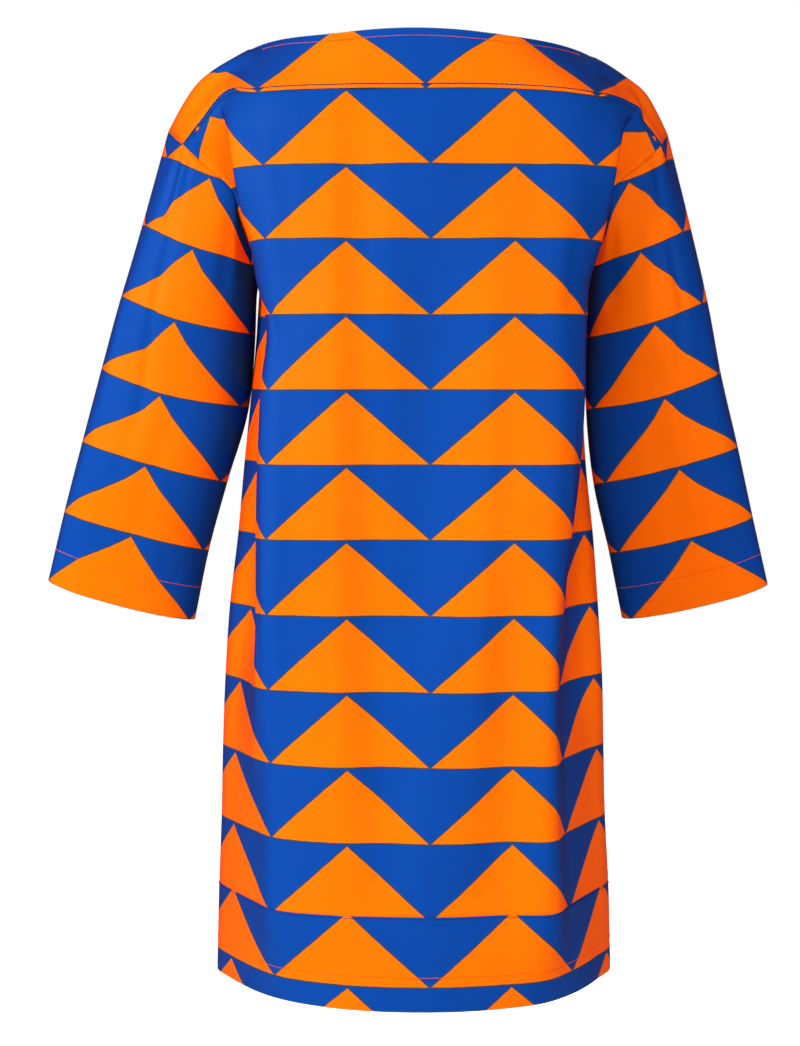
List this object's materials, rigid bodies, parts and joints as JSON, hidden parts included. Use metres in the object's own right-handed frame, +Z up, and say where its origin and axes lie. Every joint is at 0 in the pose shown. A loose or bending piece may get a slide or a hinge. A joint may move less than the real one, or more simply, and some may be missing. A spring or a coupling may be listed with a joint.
{
  "type": "boat-neck tunic dress",
  "caption": "Straight tunic dress with a wide boat neck, back yoke, loose three-quarter sleeves and a hem band, filled out as worn.",
  "frame": {"origin": "midway between the wearer's shoulders at the height of the neck points, where the shoulders carry the dress", "axes": "+Z up, +Y towards the wearer's front, +X towards the wearer's right as seen from behind"},
  "size_m": [0.774, 0.289, 0.972],
  "materials": {
    "printed_cotton": "smooth cotton sateen with a soft sheen, royal blue ground printed with rows of orange triangles",
    "orange_thread": "fine orange sewing thread",
    "navy_thread": "fine dark-blue sewing thread"
  },
  "bodies": {
    "root": {"back_yoke": "printed_cotton", "back_panel": "printed_cotton", "back_hem_band": "printed_cotton", "front_panel": "printed_cotton", "front_hem_band": "printed_cotton", "left_sleeve": "printed_cotton", "right_sleeve": "printed_cotton"}
  },
  "joints": []
}
